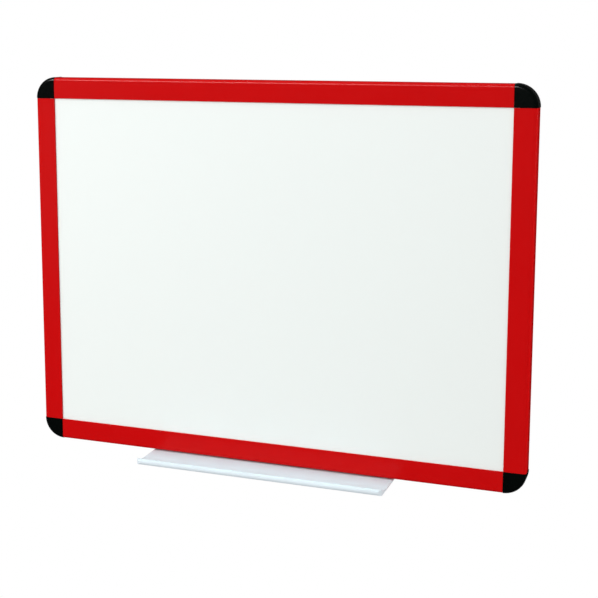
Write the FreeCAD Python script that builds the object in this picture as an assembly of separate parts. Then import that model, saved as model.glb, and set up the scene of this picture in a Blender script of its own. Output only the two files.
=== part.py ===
"""Framed wall whiteboard: panel, four extruded rails, corner brackets, pull-off caps and a sliding pen tray.

Millimetres. X runs along the board, Z is up and the writing side faces -Y. The back of the frame lies on
the wall plane Y = 0, and the origin is the middle of the four wall screw holes. Depths are measured from
the wall.
"""
import FreeCAD, Part
import math
import os
from FreeCAD import Vector

# Overall frame
board_width = 600.0
board_height = 450.0
frame_depth = 20.0

# Rail extrusion
face_width = 25.0
rail_wall = 1.5
edge_radius = 4.0
lip_edge_radius = 0.4
back_edge_radius = 0.8
groove_depth = 6.5
flange_setback = 1.0
slot_width = 5.5
channel_width = 10.5
channel_depth = 3.4
channel_wall = 1.2

# Panel layers
steel_face = 0.5
core_thickness = 8.0
backing_thickness = 0.5
panel_edge_play = 0.3
panel_back_play = 0.2

# Corner bracket
leg_length = 40.0
leg_play = 0.15
leg_chamfer = 1.5
leg_skin = 2.2
leg_screw_from_tip = 18.0
leg_boss_length = 9.0
wall_hole_radius = 2.6
wall_hole_depth = 5.0
screw_head_well_radius = 4.6
well_rim_wall = 1.73

# Corner cap
cap_wall = 1.8
cap_proud = 0.4
cap_seam = 0.3
cap_bracket_play = 0.3
cap_panel_play = 0.2
cap_back_gap = 0.4
cap_inner_chamfer = 1.5
peg_width = 2.8
peg_play = 0.08
peg_length = 10.5
peg_from_seam = 4.5
peg_rim_wall = 2.4
socket_spare_depth = 1.0

# Countersunk screws
screw_radius = 1.5
screw_head_radius = 2.7
screw_head_height = 1.4
screw_play = 0.05
screw_sink = 0.1
bracket_screw_length = 10.0
tray_screw_length = 6.0
recess_length = 3.2
recess_width = 0.7
recess_depth = 0.9

# Pen tray
tray_length = 300.0
tray_wall = 1.8
tray_gap = 1.0
tray_back_gap = 2.0
tray_flat_ahead = 25.0
lip_curve_radius = 38.0
lip_angle = 29.0
end_cap_length = 8.0
end_cap_corner_radius = 6.0
end_cap_tongue = 12.0
tongue_play = 0.2

# Tray glides
glide_length = 30.0
glide_inset = 50.0
glide_play = 0.2
glide_end_chamfer = 1.0

# Places worked out from the sizes above
inner_x = board_width / 2 - face_width
inner_z = board_height / 2 - face_width
lip_back = frame_depth - rail_wall
panel_back = lip_back - steel_face - core_thickness - backing_thickness
groove_back = panel_back - panel_back_play
web_outer = groove_depth + rail_wall
channel_mouth = face_width - rail_wall
channel_floor = channel_mouth - channel_depth
chamber_top = channel_floor - channel_wall
channel_back = rail_wall
channel_front = channel_back + channel_width
slot_middle = (channel_back + channel_front) / 2
slot_back = slot_middle - slot_width / 2
slot_front = slot_middle + slot_width / 2
half_seam = cap_seam / 2
cap_radius = face_width + cap_proud
cap_front = frame_depth + cap_proud
cap_underside = lip_back + cap_panel_play
cap_inner_radius = cap_radius - cap_wall
cap_rounding = edge_radius + cap_proud
bracket_radius = cap_inner_radius - cap_bracket_play
bracket_front = cap_underside - cap_inner_chamfer - cap_bracket_play
wall_hole_offset = (bracket_radius - well_rim_wall - screw_head_well_radius) / math.sqrt(2)
leg_middle = (web_outer + chamber_top) / 2
leg_screw_from_end = leg_length - leg_screw_from_tip
leg_screw_place = -half_seam - leg_screw_from_end
peg_half = peg_width / 2
socket_half = peg_half + peg_play
socket_reach = bracket_radius - peg_rim_wall
peg_from_corner = math.sqrt(socket_reach ** 2 - (peg_from_seam + socket_half) ** 2) - socket_half
peg_places = ((peg_from_seam, peg_from_corner), (peg_from_corner, peg_from_seam))
peg_tip = cap_underside - peg_length
screw_hole_radius = screw_radius + screw_play
screw_head_end = screw_sink + screw_head_height
screw_head_taper = (screw_head_radius - screw_radius) / screw_head_height
tray_floor_z = -board_height / 2 - tray_gap
tray_under_z = tray_floor_z - tray_wall
tray_body_half = tray_length / 2 - end_cap_length
lip_turn = math.radians(lip_angle)
lip_rise = lip_curve_radius * (1 - math.cos(lip_turn))
lip_nose_radius = (lip_rise + tray_wall) / (1 + math.cos(lip_turn))
glide_places = (glide_inset - tray_length / 2, tray_length / 2 - glide_inset)

# Corners and rails clockwise from the top, with their places and the rails' half lengths
corners_clockwise = (
    ("top_right", inner_x, inner_z),
    ("bottom_right", inner_x, -inner_z),
    ("bottom_left", -inner_x, -inner_z),
    ("top_left", -inner_x, inner_z),
)
rails_clockwise = (
    ("top", inner_x, 0, inner_z),
    ("right", inner_z, inner_x, 0),
    ("bottom", inner_x, 0, -inner_z),
    ("left", inner_z, -inner_x, 0),
)


def side_point(depth, height):
    """Point of a section that is drawn across the board."""
    return Vector(0, -depth, height)


def rounded_wire(corners):
    """Closed wire through (point, radius) corners, with a tangent arc where the radius isn't zero."""
    starts, ends, arcs = [], [], []
    for index, (point, radius) in enumerate(corners):
        towards_last = (corners[index - 1][0] - point).normalize()
        towards_next = (corners[(index + 1) % len(corners)][0] - point).normalize()
        half_angle = towards_last.getAngle(towards_next) / 2
        setback = radius / math.tan(half_angle)
        starts.append(point + towards_last * setback)
        ends.append(point + towards_next * setback)
        bisector = (towards_last + towards_next).normalize()
        arcs.append(point + bisector * (radius / math.sin(half_angle) - radius))
    edges = []
    for index, (point, radius) in enumerate(corners):
        if radius > 0:
            edges.append(Part.Arc(starts[index], arcs[index], ends[index]).toShape())
        edges.append(Part.LineSegment(ends[index], starts[(index + 1) % len(corners)]).toShape())
    return Part.Wire(edges)


def section(*corners):
    """Closed wire of a section from (depth, height) or (depth, height, corner radius) entries."""
    padded = [(*corner, 0.0)[:3] for corner in corners]
    return rounded_wire([(side_point(depth, height), radius) for depth, height, radius in padded])


def extrude_x(face, x_from, x_to):
    """Extrude a section face along X."""
    moved = face.copy()
    moved.translate(Vector(x_from, 0, 0))
    return moved.extrude(Vector(x_to - x_from, 0, 0))


def block(x_range, depth_range, z_range):
    """Box between two X, two depths and two Z."""
    (x0, x1), (d0, d1), (z0, z1) = x_range, depth_range, z_range
    return Part.makeBox(x1 - x0, d1 - d0, z1 - z0, Vector(x0, -d1, z0))


def rod(radius, x, z, depth_from, depth_to):
    """Cylinder square to the wall between two depths."""
    return Part.makeCylinder(radius, depth_to - depth_from, Vector(x, -depth_from, z), Vector(0, -1, 0))


def taper(radius_from, radius_to, x, z, depth_from, depth_to):
    """Cone square to the wall between two depths."""
    base = Vector(x, -depth_from, z)
    return Part.makeCone(radius_from, radius_to, depth_to - depth_from, base, Vector(0, -1, 0))


def turned(shape, quarter_turns, x, z):
    """Copy of a shape, turned about Y by quarter turns, from the top to the right, and moved to X and Z."""
    copy = shape.copy()
    turn = FreeCAD.Rotation(Vector(0, 1, 0), 90.0 * quarter_turns)
    copy.Placement = FreeCAD.Placement(Vector(x, 0, z), turn)
    return copy


def tray_fixing(shape, x):
    """Copy of a screw or its hole, moved from the wall plane to the tray's underside and pointing up."""
    copy = shape.copy()
    turn = FreeCAD.Rotation(Vector(1, 0, 0), -90.0)
    copy.Placement = FreeCAD.Placement(Vector(x, -slot_middle, tray_under_z), turn)
    return copy


def countersunk_screw(length):
    """Screw into the wall plane along -Y, its head just under the plane, with a cross recess."""
    head = taper(screw_head_radius, screw_radius, 0, 0, screw_sink, screw_head_end)
    screw = head.fuse(rod(screw_radius, 0, 0, screw_head_end, length))
    half_long, half_wide = recess_length / 2, recess_width / 2
    for half_x, half_z in ((half_long, half_wide), (half_wide, half_long)):
        screw = screw.cut(block((-half_x, half_x), (0, screw_sink + recess_depth), (-half_z, half_z)))
    return screw


def countersunk_hole(depth):
    """Cutter for the hole of a countersunk screw in the wall plane."""
    mouth_radius = screw_hole_radius + screw_head_end * screw_head_taper
    seat = taper(mouth_radius, screw_hole_radius, 0, 0, 0, screw_head_end)
    return seat.fuse(rod(screw_hole_radius, 0, 0, screw_head_end, depth))


def peg(half_width, x, z, depth_from, depth_to):
    """Square bar, square to the wall between two depths."""
    return block((x - half_width, x + half_width), (depth_from, depth_to), (z - half_width, z + half_width))


def quarter_round(start, outline):
    """Section revolved by a quarter turn from the top to the right, and moved out to X and Z = start."""
    quarter = Part.Face(outline).revolve(Vector(0, 0, 0), Vector(0, 1, 0), 90)
    quarter.translate(Vector(start, 0, start))
    return quarter


def rail(length):
    """Rail along X, its lip edge at Z = 0 and its outer face, with the accessory slot, at Z = face_width."""
    flange_back = groove_back - rail_wall
    outline = section(
        (frame_depth, 0, lip_edge_radius), (frame_depth, face_width, edge_radius),
        (slot_front, face_width), (slot_front, channel_mouth),
        (channel_front, channel_mouth), (channel_front, channel_floor),
        (channel_back, channel_floor), (channel_back, channel_mouth),
        (slot_back, channel_mouth), (slot_back, face_width),
        (0, face_width, back_edge_radius), (0, groove_depth),
        (flange_back, groove_depth), (flange_back, flange_setback),
        (groove_back, flange_setback), (groove_back, groove_depth),
        (lip_back, groove_depth), (lip_back, 0),
    )
    corner_void_back = channel_front + channel_wall
    inner_rounding = max(0.0, edge_radius - rail_wall)
    chamber = section(
        (rail_wall, web_outer), (lip_back, web_outer), (lip_back, channel_mouth, inner_rounding),
        (corner_void_back, channel_mouth), (corner_void_back, chamber_top), (rail_wall, chamber_top),
    )
    bar = extrude_x(Part.Face(outline).cut(Part.Face(chamber)).Faces[0], -length / 2, length / 2)
    hole = countersunk_hole(2 * rail_wall)
    for side in (-1, 1):
        bar = bar.cut(turned(hole, 0, side * (length / 2 - leg_screw_from_end), leg_middle))
    return bar


def bracket_leg():
    """Leg for the rail along -X, with a tapered tip and a pocket on each side of the screw boss."""
    low, high = web_outer + leg_play, chamber_top - leg_play
    back, front = rail_wall + leg_play, lip_back - leg_play
    tip, root = -half_seam - leg_length, -half_seam
    leg = block((tip, root), (back, front), (low, high))
    tip_edges = [edge for edge in leg.Edges if edge.BoundBox.XMax < tip + leg_chamfer]
    leg = leg.makeChamfer(leg_chamfer, tip_edges)
    boss_tip, boss_root = leg_screw_place - leg_boss_length / 2, leg_screw_place + leg_boss_length / 2
    for x_range in ((tip + leg_chamfer + leg_skin, boss_tip), (boss_root, root - leg_skin)):
        leg = leg.cut(block(x_range, (back + leg_skin, front), (low + leg_skin, high - leg_skin)))
    return leg.cut(rod(screw_hole_radius, leg_screw_place, leg_middle, 0, frame_depth))


def corner_bracket():
    """Top right bracket about its inner corner: two legs, wall screw hole, cap sockets and panel notch."""
    reach = bracket_radius + half_seam
    body = quarter_round(-half_seam, section((0, 0), (bracket_front, 0), (bracket_front, reach), (0, reach)))
    leg = bracket_leg()
    body = body.fuse([leg, leg.mirror(Vector(0, 0, 0), Vector(1, 0, -1))])
    notch = (-half_seam, groove_depth)
    body = body.cut(block(notch, (groove_back, bracket_front), notch))
    place = (wall_hole_offset, wall_hole_offset)
    body = body.cut(rod(wall_hole_radius, *place, 0, wall_hole_depth))
    body = body.cut(rod(screw_head_well_radius, *place, wall_hole_depth, bracket_front))
    for place in peg_places:
        body = body.cut(peg(socket_half, *place, peg_tip - socket_spare_depth, bracket_front))
    return body.removeSplitter()


def corner_cap():
    """Top right cap about its inner corner: face and skirt of one revolved wall, and two pegs."""
    reach, inner_reach = cap_radius - half_seam, cap_inner_radius - half_seam
    shell = quarter_round(half_seam, section(
        (cap_underside, 0), (cap_front, 0), (cap_front, reach, cap_rounding), (cap_back_gap, reach),
        (cap_back_gap, inner_reach), (cap_underside - cap_inner_chamfer, inner_reach),
        (cap_underside, inner_reach - cap_inner_chamfer),
    ))
    return shell.fuse([peg(peg_half, *place, peg_tip, cap_underside) for place in peg_places])


def panel_layer(depth_from, depth_to):
    """One layer of the panel, which reaches into the grooves of the four rails."""
    overlap = groove_depth - panel_edge_play
    half_x, half_z = inner_x + overlap, inner_z + overlap
    return block((-half_x, half_x), (depth_from, depth_to), (-half_z, half_z))


def tray_top_line():
    """Upper line of the tray from back to front: flat floor, rising curve and lip rolled under to the front."""
    flat_depth = frame_depth + tray_flat_ahead

    def rise(turn):
        return side_point(flat_depth + lip_curve_radius * math.sin(turn),
                          tray_floor_z + lip_curve_radius * (1 - math.cos(turn)))

    flat_end, crest = rise(0), rise(lip_turn)
    nose_centre = crest + side_point(math.sin(lip_turn), -math.cos(lip_turn)) * lip_nose_radius
    nose_front = nose_centre + side_point(lip_nose_radius, 0)
    nose_foot = nose_centre + side_point(0, -lip_nose_radius)
    return [
        Part.LineSegment(side_point(tray_back_gap, tray_floor_z), flat_end).toShape(),
        Part.Arc(flat_end, rise(lip_turn / 2), crest).toShape(),
        Part.Arc(crest, nose_front, nose_foot).toShape(),
    ]


def pen_tray():
    """Extruded tray: a sheet of even thickness under the upper line, with holes for the glide screws."""
    sheet = Part.Wire(tray_top_line()).makeOffset2D(-tray_wall, fill=True, openResult=True)
    tray = extrude_x(sheet, -tray_body_half, tray_body_half)
    hole = countersunk_hole(2 * tray_wall)
    for x in glide_places:
        tray = tray.cut(tray_fixing(hole, x))
    return tray


def tray_end_cap():
    """Right end of the tray: a plate of the tray's outline with a round corner, and a tongue for the lip."""
    top_line = tray_top_line()
    front_foot = top_line[-1].Vertexes[-1].Point
    back_top = side_point(tray_back_gap, tray_floor_z)
    back_foot = side_point(tray_back_gap, tray_under_z)
    closing = [
        Part.LineSegment(front_foot, back_foot).toShape(),
        Part.LineSegment(back_foot, back_top).toShape(),
    ]
    filled = Part.Wire(top_line + closing)
    plate = extrude_x(Part.Face(filled), tray_body_half, tray_length / 2)
    box = plate.BoundBox
    plan = rounded_wire([
        (Vector(box.XMin, box.YMax, box.ZMin), 0.0),
        (Vector(box.XMin, box.YMin, box.ZMin), 0.0),
        (Vector(box.XMax, box.YMin, box.ZMin), end_cap_corner_radius),
        (Vector(box.XMax, box.YMax, box.ZMin), 0.0),
    ])
    plate = plate.common(Part.Face(plan).extrude(Vector(0, 0, box.ZLength)))
    core = Part.Face(filled.makeOffset2D(-tray_wall - tongue_play))
    tongue = extrude_x(core, tray_body_half - end_cap_tongue, tray_body_half)
    return plate.fuse(tongue).removeSplitter()


def tray_slider(x):
    """T glide in the slot of the bottom rail, standing on the tray's floor."""
    mouth_z = -inner_z - channel_mouth + glide_play
    floor_z = -inner_z - channel_floor - glide_play
    neck_back, neck_front = slot_back + glide_play, slot_front - glide_play
    head_back, head_front = channel_back + glide_play, channel_front - glide_play
    tee = section(
        (neck_back, tray_floor_z), (neck_front, tray_floor_z), (neck_front, mouth_z), (head_front, mouth_z),
        (head_front, floor_z), (head_back, floor_z), (head_back, mouth_z), (neck_back, mouth_z),
    )
    glide = extrude_x(Part.Face(tee), x - glide_length / 2, x + glide_length / 2)
    head_width = head_front - head_back
    end_edges = [
        edge for edge in glide.Edges
        if edge.BoundBox.XLength < glide_end_chamfer and abs(edge.BoundBox.YLength - head_width) < glide_play
    ]
    glide = glide.makeChamfer(glide_end_chamfer, end_edges)
    return glide.cut(tray_fixing(rod(screw_hole_radius, 0, 0, 0, tray_screw_length + glide_play), x))


def bracket_screws():
    """One screw through the back of each rail end into the bracket's leg."""
    screw = countersunk_screw(bracket_screw_length)
    places = ((leg_screw_place, leg_middle), (leg_middle, leg_screw_place))
    pair = Part.makeCompound([turned(screw, 0, *place) for place in places])
    return Part.makeCompound([turned(pair, turn, x, z) for turn, (_, x, z) in enumerate(corners_clockwise)])


def build():
    """All pieces by name."""
    steel_back = lip_back - steel_face
    pieces = {
        "writing_surface": panel_layer(steel_back, lip_back),
        "core_board": panel_layer(panel_back + backing_thickness, steel_back),
        "backing_sheet": panel_layer(panel_back, panel_back + backing_thickness),
    }
    for turn, (name, half_length, x, z) in enumerate(rails_clockwise):
        pieces["rail_" + name] = turned(rail(2 * (half_length - half_seam)), turn, x, z)
    bracket, cap = corner_bracket(), corner_cap()
    for turn, (name, x, z) in enumerate(corners_clockwise):
        pieces["corner_bracket_" + name] = turned(bracket, turn, x, z)
        pieces["corner_cap_" + name] = turned(cap, turn, x, z)
    pieces["bracket_screws"] = bracket_screws()
    pieces["pen_tray"] = pen_tray()
    end_cap = tray_end_cap()
    pieces["tray_end_cap_right"] = end_cap
    pieces["tray_end_cap_left"] = end_cap.mirror(Vector(0, 0, 0), Vector(1, 0, 0))
    for side, x in zip(("left", "right"), glide_places):
        pieces["tray_slider_" + side] = tray_slider(x)
    screw = countersunk_screw(tray_screw_length)
    pieces["tray_screws"] = Part.makeCompound([tray_fixing(screw, x) for x in glide_places])
    return pieces


os.makedirs("parts", exist_ok=True)
for node, shape in build().items():
    shape.exportStep("parts/" + node + ".step")
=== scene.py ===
import bpy
import math
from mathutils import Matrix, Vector


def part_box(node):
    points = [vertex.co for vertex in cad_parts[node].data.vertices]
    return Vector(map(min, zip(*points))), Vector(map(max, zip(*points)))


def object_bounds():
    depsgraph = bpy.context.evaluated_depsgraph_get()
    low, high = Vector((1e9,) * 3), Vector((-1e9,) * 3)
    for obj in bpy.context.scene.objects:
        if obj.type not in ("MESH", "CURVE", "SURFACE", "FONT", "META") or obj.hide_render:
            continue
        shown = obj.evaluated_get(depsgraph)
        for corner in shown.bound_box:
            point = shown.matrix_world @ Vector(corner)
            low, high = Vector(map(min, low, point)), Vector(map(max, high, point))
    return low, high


# Looks of a framed wall whiteboard: the finish of every piece, studio light, floor and camera.
# Metres. X runs along the board, Z is up, the writing side faces -Y and the wall plane is Y = 0.

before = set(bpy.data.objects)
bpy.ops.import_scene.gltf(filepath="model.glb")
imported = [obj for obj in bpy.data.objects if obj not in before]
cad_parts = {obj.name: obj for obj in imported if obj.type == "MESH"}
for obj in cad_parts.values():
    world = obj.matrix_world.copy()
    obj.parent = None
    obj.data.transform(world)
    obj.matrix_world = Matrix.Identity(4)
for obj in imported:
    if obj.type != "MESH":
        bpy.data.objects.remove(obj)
cad_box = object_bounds()

MM = 0.001

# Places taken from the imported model
(left, _, bottom), (right, _, top) = cad_box
tray_middle = [(low + high) / 2 for low, high in zip(*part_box("pen_tray"))]

# Camera of the photograph
camera_place = (0.4803, -1.3271, 0.2769)
camera_yaw = 0.3517
camera_pitch = 0.1511
camera_lens = 74.09
camera_sensor = 36.0
camera_shift = (0.05, -0.13)

# Floor under the board, and how far from the middle it fades into the white background
floor_height = -0.95
floor_half = 6.0
floor_fade_start = 0.35
floor_fade_end = 0.95
floor_white = 0.90
floor_bounce = 0.5
background_white = 1.0

# Light: an even fill, a key softbox from the upper left, weak ones on the left and overhead, a strip that
# only mirrors show, a lamp behind the right edge, and a cool one with a narrow grid down on the tray.
# Mirror rays see the white backdrop behind the board and a dark studio in front of it.
fill_strength = 0.85
studio_dark = 0.015
backdrop_start = 0.3
backdrop_end = 0.8
light_target = (0.0, 0.0, 0.0)
softboxes = {
    "key_softbox": {"place": (-1.25, -2.2, 1.65), "size": (1.5, 0.8), "power": 32.0},
    "side_softbox": {"place": (-1.3, -1.3, 0.0), "size": (0.9, 0.7), "power": 3.2, "mirrored": False},
    "top_softbox": {"place": (-0.5, 0.2, 1.25), "size": (1.0, 2.0), "power": 1.5},
    "strip_softbox": {"place": (-0.85, -2.2, 1.45), "size": (1.9, 1.0), "power": 60.0, "lit": False},
    "edge_softbox": {"place": (1.6, 0.3, 0.2), "size": (0.6, 0.6), "power": 9.0, "mirrored": False},
    "tray_softbox": {"place": (0.0, -0.12, 1.3), "size": (0.5, 0.3), "power": 0.11, "target": tray_middle,
                     "spread": math.radians(26.0), "tint": (0.45, 0.92, 1.0), "mirrored": False},
}

# Black cards behind the right and top edges, which only mirror rays see, so that the sides keep their colour
card_depth = 0.06
card_inside = 0.02
card_outside = 0.18
card_below = 0.032
card_past_left = 0.1
right_card = ((right - card_inside, right + card_outside), (bottom - card_below, top + card_outside))
top_card = ((left - card_past_left, right - card_inside), (top - card_inside, top + card_outside))

# Colours as linear values
plain_white = (1.0, 1.0, 1.0)
lacquer_white = (0.86, 0.90, 0.875)
coat_red = (0.55, 0.002, 0.0025)
cap_black = (0.001, 0.002, 0.0016)
tray_grey = (0.70, 0.77, 0.815)
zinc_grey = (0.55, 0.57, 0.59)
board_brown = (0.42, 0.31, 0.20)
bracket_grey = (0.045, 0.047, 0.05)
nylon_white = (0.74, 0.73, 0.68)
screw_zinc = (0.62, 0.63, 0.64)

# Stretch of a pattern's values, which run from 0 to 1, over which colours and roughness change
pattern_low = 0.3
pattern_high = 0.7


def shade(colour, factor):
    """Colour with its three values scaled, opaque."""
    return tuple(value * factor for value in colour) + (1.0,)


class Finish:
    """A material with one Principled shader and the small node chains that feed it."""

    def __init__(self, name, roughness, metallic=0.0, specular=0.5):
        self.material = bpy.data.materials.new(name)
        self.material.use_nodes = True
        self.nodes = self.material.node_tree.nodes
        self.links = self.material.node_tree.links
        self.shader = self.nodes["Principled BSDF"]
        self.shader.inputs["Roughness"].default_value = roughness
        self.shader.inputs["Metallic"].default_value = metallic
        self.shader.inputs["Specular IOR Level"].default_value = specular
        self.place = self.nodes.new("ShaderNodeTexCoord").outputs["Object"]

    def stretched(self, scale):
        """Place on the piece with its three axes scaled, for streaks and brushed lines."""
        mapping = self.nodes.new("ShaderNodeMapping")
        mapping.inputs["Scale"].default_value = scale
        self.links.new(self.place, mapping.inputs["Vector"])
        return mapping.outputs["Vector"]

    def noise(self, size, detail=3.0, along=(1.0, 1.0, 1.0)):
        """Cloudy pattern whose patches are about one size across."""
        texture = self.nodes.new("ShaderNodeTexNoise")
        texture.inputs["Scale"].default_value = 1.0 / size
        texture.inputs["Detail"].default_value = detail
        self.links.new(self.stretched(along), texture.inputs["Vector"])
        return texture.outputs["Fac"]

    def cells(self, size):
        """Pattern of cells with a random value each."""
        texture = self.nodes.new("ShaderNodeTexVoronoi")
        texture.inputs["Scale"].default_value = 1.0 / size
        self.links.new(self.place, texture.inputs["Vector"])
        return texture.outputs["Color"]

    def colour(self, pattern, colour, low, high):
        """Base colour that goes from low to high times a colour along a pattern."""
        ramp = self.nodes.new("ShaderNodeValToRGB")
        start, end = ramp.color_ramp.elements
        start.position, start.color = pattern_low, shade(colour, low)
        end.position, end.color = pattern_high, shade(colour, high)
        self.links.new(pattern, ramp.inputs["Fac"])
        self.links.new(ramp.outputs["Color"], self.shader.inputs["Base Color"])

    def roughness(self, pattern, low, high):
        """Roughness from low to high along a pattern."""
        spread = self.nodes.new("ShaderNodeMapRange")
        spread.inputs["From Min"].default_value = pattern_low
        spread.inputs["From Max"].default_value = pattern_high
        spread.inputs["To Min"].default_value = low
        spread.inputs["To Max"].default_value = high
        self.links.new(pattern, spread.inputs["Value"])
        self.links.new(spread.outputs["Result"], self.shader.inputs["Roughness"])

    def bump(self, pattern, height):
        """Relief of a real height along a pattern."""
        bump = self.nodes.new("ShaderNodeBump")
        bump.inputs["Strength"].default_value = 1.0
        bump.inputs["Distance"].default_value = height
        self.links.new(pattern, bump.inputs["Height"])
        self.links.new(bump.outputs["Normal"], self.shader.inputs["Normal"])


def lacquered_steel():
    """Smooth white writing face with a trace of wiping marks in its gloss."""
    finish = Finish("writing_lacquer", roughness=0.3, specular=0.4)
    wiped = finish.noise(60 * MM, detail=4.0, along=(0.25, 1.0, 1.0))
    finish.colour(wiped, lacquer_white, low=0.999, high=1.0)
    finish.roughness(wiped, low=0.29, high=0.30)
    finish.bump(finish.noise(2.5 * MM, detail=1.0), height=0.004 * MM)
    return finish.material


def powder_coat():
    """Red stoved coat on the aluminium rails, with a fine orange peel."""
    finish = Finish("red_powder_coat", roughness=0.2, specular=0.1)
    finish.colour(finish.noise(45 * MM), coat_red, low=0.985, high=1.015)
    finish.roughness(finish.noise(8 * MM), low=0.18, high=0.22)
    finish.bump(finish.noise(2.2 * MM, detail=1.0), height=0.002 * MM)
    return finish.material


def gloss_plastic():
    """Polished black moulding of the corner caps."""
    finish = Finish("black_gloss_plastic", roughness=0.2, specular=0.3)
    finish.colour(finish.noise(12 * MM), cap_black, low=0.8, high=1.2)
    finish.roughness(finish.noise(5 * MM), low=0.17, high=0.23)
    finish.bump(finish.noise(3 * MM, detail=1.0), height=0.006 * MM)
    return finish.material


def satin_plastic():
    """Light grey plastic of the tray, with faint drawing lines along its length."""
    finish = Finish("grey_satin_plastic", roughness=0.5, specular=0.04)
    finish.colour(finish.noise(30 * MM), tray_grey, low=0.98, high=1.02)
    lines = finish.noise(0.8 * MM, detail=2.0, along=(0.01, 1.0, 1.0))
    finish.roughness(lines, low=0.46, high=0.54)
    finish.bump(lines, height=0.006 * MM)
    return finish.material


def zinc_sheet():
    """Hot-dip zinc on the back, with its spangle."""
    finish = Finish("zinc_spangle", roughness=0.42, metallic=0.9)
    spangle = finish.cells(9 * MM)
    finish.colour(spangle, zinc_grey, low=0.94, high=1.04)
    finish.roughness(spangle, low=0.40, high=0.48)
    finish.bump(finish.noise(1.5 * MM), height=0.008 * MM)
    return finish.material


def fibre_board():
    """Pressed fibre of the core, which the sheets and rails hide."""
    finish = Finish("pressed_fibre", roughness=0.9, specular=0.2)
    fibres = finish.noise(1.2 * MM, detail=6.0)
    finish.colour(fibres, board_brown, low=0.7, high=1.2)
    finish.bump(fibres, height=0.15 * MM)
    return finish.material


def matt_plastic():
    """Dark grey moulding of the brackets, with a spark-eroded grain."""
    finish = Finish("grey_matt_plastic", roughness=0.55, specular=0.35)
    grain = finish.noise(0.5 * MM, detail=2.0)
    finish.colour(finish.noise(10 * MM), bracket_grey, low=0.9, high=1.1)
    finish.roughness(grain, low=0.48, high=0.64)
    finish.bump(grain, height=0.02 * MM)
    return finish.material


def nylon():
    """Natural nylon of the glides."""
    finish = Finish("natural_nylon", roughness=0.45, specular=0.4)
    finish.shader.inputs["Subsurface Weight"].default_value = 0.15
    finish.shader.inputs["Subsurface Scale"].default_value = 1.0 * MM
    finish.colour(finish.noise(6 * MM), nylon_white, low=0.95, high=1.03)
    finish.bump(finish.noise(0.6 * MM), height=0.01 * MM)
    return finish.material


def zinc_plate():
    """Bright zinc plate of the screws, a little worn."""
    finish = Finish("zinc_plate", roughness=0.3, metallic=1.0)
    worn = finish.noise(0.8 * MM, detail=4.0)
    finish.colour(worn, screw_zinc, low=0.8, high=1.1)
    finish.roughness(worn, low=0.22, high=0.4)
    finish.bump(worn, height=0.01 * MM)
    return finish.material


def dress_nodes():
    """Give every piece the finish of its material slot."""
    corners = [side + "_" + hand for side in ("top", "bottom") for hand in ("left", "right")]
    finishes = (
        (lacquered_steel(), ["writing_surface"]),
        (fibre_board(), ["core_board"]),
        (zinc_sheet(), ["backing_sheet"]),
        (powder_coat(), ["rail_" + side for side in ("top", "bottom", "left", "right")]),
        (matt_plastic(), ["corner_bracket_" + corner for corner in corners]),
        (gloss_plastic(), ["corner_cap_" + corner for corner in corners]),
        (satin_plastic(), ["pen_tray", "tray_end_cap_left", "tray_end_cap_right"]),
        (nylon(), ["tray_slider_left", "tray_slider_right"]),
        (zinc_plate(), ["bracket_screws", "tray_screws"]),
    )
    for material, names in finishes:
        for name in names:
            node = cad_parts[name]
            node.data.materials.clear()
            node.data.materials.append(material)


def seen_ray(nodes, links):
    """1 for rays that show the background: camera, mirror and see-through ones."""
    path = nodes.new("ShaderNodeLightPath")
    total = path.outputs["Is Camera Ray"]
    for kind in ("Is Glossy Ray", "Is Transmission Ray"):
        either = nodes.new("ShaderNodeMath")
        either.operation = "MAXIMUM"
        links.new(total, either.inputs[0])
        links.new(path.outputs[kind], either.inputs[1])
        total = either.outputs["Value"]
    return total


def make_world():
    """White to look at, an even fill as light, and for mirrors white behind the board and dark in front."""
    world = bpy.data.worlds.new("studio")
    bpy.context.scene.world = world
    world.use_nodes = True
    nodes, links = world.node_tree.nodes, world.node_tree.links
    fill = nodes["Background"]
    fill.inputs["Color"].default_value = shade(plain_white, 1.0)
    fill.inputs["Strength"].default_value = fill_strength
    white = nodes.new("ShaderNodeBackground")
    white.inputs["Color"].default_value = shade(plain_white, 1.0)
    axes = nodes.new("ShaderNodeSeparateXYZ")
    links.new(nodes.new("ShaderNodeTexCoord").outputs["Generated"], axes.inputs["Vector"])
    behind = nodes.new("ShaderNodeMapRange")
    behind.interpolation_type = "SMOOTHSTEP"
    behind.inputs["From Min"].default_value = backdrop_start
    behind.inputs["From Max"].default_value = backdrop_end
    behind.inputs["To Min"].default_value = studio_dark
    behind.inputs["To Max"].default_value = background_white
    links.new(axes.outputs["Y"], behind.inputs["Value"])
    level = nodes.new("ShaderNodeMath")
    level.operation = "MAXIMUM"
    links.new(nodes.new("ShaderNodeLightPath").outputs["Is Camera Ray"], level.inputs[0])
    links.new(behind.outputs["Result"], level.inputs[1])
    links.new(level.outputs["Value"], white.inputs["Strength"])
    mix = nodes.new("ShaderNodeMixShader")
    links.new(seen_ray(nodes, links), mix.inputs["Fac"])
    links.new(fill.outputs["Background"], mix.inputs[1])
    links.new(white.outputs["Background"], mix.inputs[2])
    links.new(mix.outputs["Shader"], nodes["World Output"].inputs["Surface"])


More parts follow.
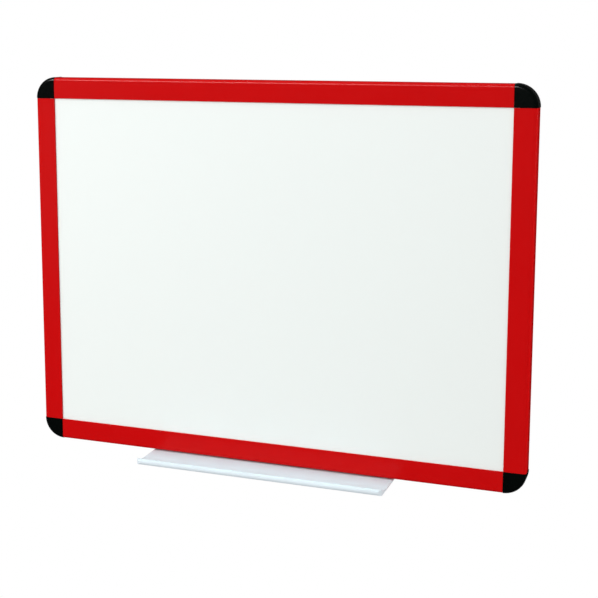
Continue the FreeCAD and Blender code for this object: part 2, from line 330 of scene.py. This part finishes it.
def make_floor():
    """Pale floor far below the board, which takes its shadow and fades into the white round it."""
    mesh = bpy.data.meshes.new("floor")
    corners = [(-1, -1), (1, -1), (1, 1), (-1, 1)]
    mesh.from_pydata([(x * floor_half, y * floor_half, floor_height) for x, y in corners], [], [(0, 1, 2, 3)])
    floor = bpy.data.objects.new("floor", mesh)
    bpy.context.scene.collection.objects.link(floor)
    floor.visible_glossy = False
    material = bpy.data.materials.new("floor_white")
    material.use_nodes = True
    nodes, links = material.node_tree.nodes, material.node_tree.links
    nodes.remove(nodes["Principled BSDF"])
    paint = nodes.new("ShaderNodeBsdfDiffuse")
    level = nodes.new("ShaderNodeMapRange")
    level.inputs["To Min"].default_value = floor_bounce
    level.inputs["To Max"].default_value = floor_white
    links.new(nodes.new("ShaderNodeLightPath").outputs["Is Camera Ray"], level.inputs["Value"])
    links.new(level.outputs["Result"], paint.inputs["Color"])
    white = nodes.new("ShaderNodeEmission")
    white.inputs["Strength"].default_value = background_white
    distance = nodes.new("ShaderNodeVectorMath")
    distance.operation = "LENGTH"
    links.new(nodes.new("ShaderNodeTexCoord").outputs["Object"], distance.inputs[0])
    fade = nodes.new("ShaderNodeMapRange")
    fade.interpolation_type = "SMOOTHSTEP"
    fade.inputs["From Min"].default_value = math.hypot(floor_fade_start, floor_height)
    fade.inputs["From Max"].default_value = math.hypot(floor_fade_end, floor_height)
    links.new(distance.outputs["Value"], fade.inputs["Value"])
    share = nodes.new("ShaderNodeMath")
    share.operation = "MULTIPLY"
    links.new(fade.outputs["Result"], share.inputs[0])
    links.new(seen_ray(nodes, links), share.inputs[1])
    mix = nodes.new("ShaderNodeMixShader")
    links.new(share.outputs["Value"], mix.inputs["Fac"])
    links.new(paint.outputs["BSDF"], mix.inputs[1])
    links.new(white.outputs["Emission"], mix.inputs[2])
    links.new(mix.outputs["Shader"], nodes["Material Output"].inputs["Surface"])
    mesh.materials.append(material)


def make_softbox(name, place, size, power, target=light_target, spread=math.pi, tint=plain_white,
                 mirrored=True, lit=True):
    """Rectangular lamp with a grid and a tint that faces a target, for mirrors, matt faces or both."""
    lamp = bpy.data.lights.new(name, "AREA")
    lamp.shape = "RECTANGLE"
    lamp.size, lamp.size_y = size
    lamp.energy, lamp.spread, lamp.color = power, spread, tint
    box = bpy.data.objects.new(name, lamp)
    box.location = place
    box.visible_camera, box.visible_glossy, box.visible_diffuse = False, mirrored, lit
    box.rotation_euler = (Vector(target) - Vector(place)).to_track_quat("-Z", "Y").to_euler()
    bpy.context.scene.collection.objects.link(box)


def make_card(name, x_range, z_range):
    """Black card square to Y that only mirror rays see."""
    (x0, x1), (z0, z1) = x_range, z_range
    mesh = bpy.data.meshes.new(name)
    corners = [(x0, z0), (x1, z0), (x1, z1), (x0, z1)]
    mesh.from_pydata([(x, card_depth, z) for x, z in corners], [], [(0, 1, 2, 3)])
    card = bpy.data.objects.new(name, mesh)
    bpy.context.scene.collection.objects.link(card)
    card.visible_camera = card.visible_diffuse = card.visible_shadow = card.visible_transmission = False
    material = bpy.data.materials.new(name)
    material.use_nodes = True
    shader = material.node_tree.nodes["Principled BSDF"]
    shader.inputs["Base Color"].default_value = shade(plain_white, studio_dark)
    shader.inputs["Roughness"].default_value = 1.0
    mesh.materials.append(material)


def make_camera():
    """Camera of the photograph, to the right of the board and a little above it."""
    data = bpy.data.cameras.new("camera")
    data.sensor_width = camera_sensor
    data.lens = camera_lens
    data.shift_x, data.shift_y = camera_shift
    camera = bpy.data.objects.new("camera", data)
    camera.location = camera_place
    camera.rotation_euler = (math.pi / 2 - camera_pitch, 0.0, camera_yaw)
    bpy.context.scene.collection.objects.link(camera)
    bpy.context.scene.camera = camera


bpy.context.scene.view_settings.view_transform = "Standard"
dress_nodes()
make_world()
make_floor()
for softbox_name, softbox in softboxes.items():
    make_softbox(softbox_name, **softbox)
make_card("right_card", *right_card)
make_card("top_card", *top_card)
make_camera()
